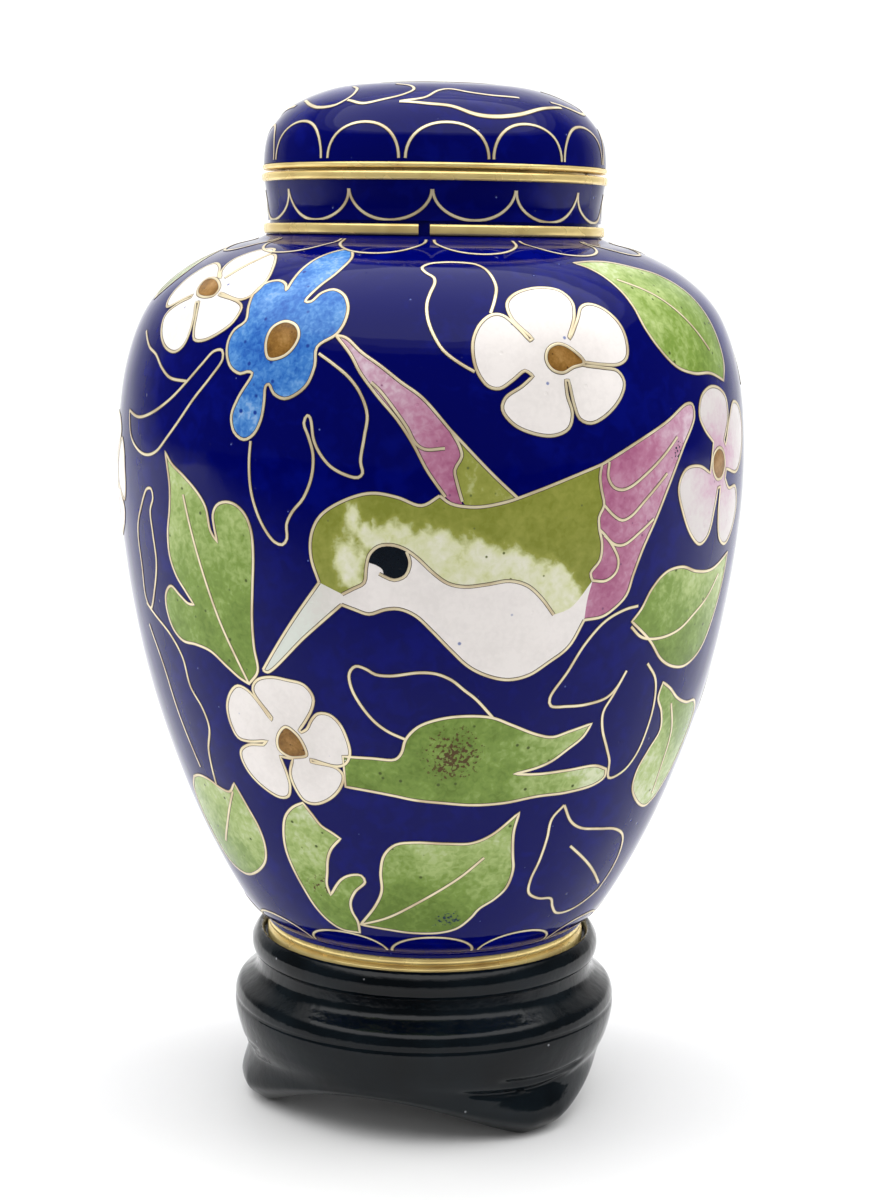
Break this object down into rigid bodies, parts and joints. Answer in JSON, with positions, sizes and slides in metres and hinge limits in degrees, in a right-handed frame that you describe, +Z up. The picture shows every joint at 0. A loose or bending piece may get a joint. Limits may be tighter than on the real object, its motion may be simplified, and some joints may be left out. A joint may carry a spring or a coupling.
{
  "type": "funeral urn",
  "caption": "Keepsake urn: an enamelled ginger-jar vase with brass rims and a lift-off domed lid, on a black footed stand.",
  "frame": {"origin": "centre of the circle that the three feet stand on, on the surface under the stand", "axes": "+Z up the urn's axis, -Y towards the viewer of the pictured side"},
  "size_m": [0.064, 0.0638, 0.1051],
  "materials": {
    "cobalt_enamel": "glossy vitreous enamel with wire inlay",
    "gilt_brass": "polished, lightly worn",
    "white_enamel": "glossy opaque enamel, for petals and the bird's breast",
    "green_enamel": "glossy mottled enamel, for leaves and the bird's back",
    "pink_enamel": "glossy mottled enamel, for wing and tail feathers",
    "sky_enamel": "glossy enamel, for blue petals",
    "brown_enamel": "glossy enamel, for flower centres",
    "black_lacquer": "glossy black lacquer"
  },
  "bodies": {
    "root": {"vase_body": "cobalt_enamel", "lid": "cobalt_enamel", "lid_rim": "gilt_brass", "mouth_rim": "gilt_brass", "neck_band": "gilt_brass", "foot_rim": "gilt_brass", "stand": "black_lacquer"}
  },
  "joints": []
}
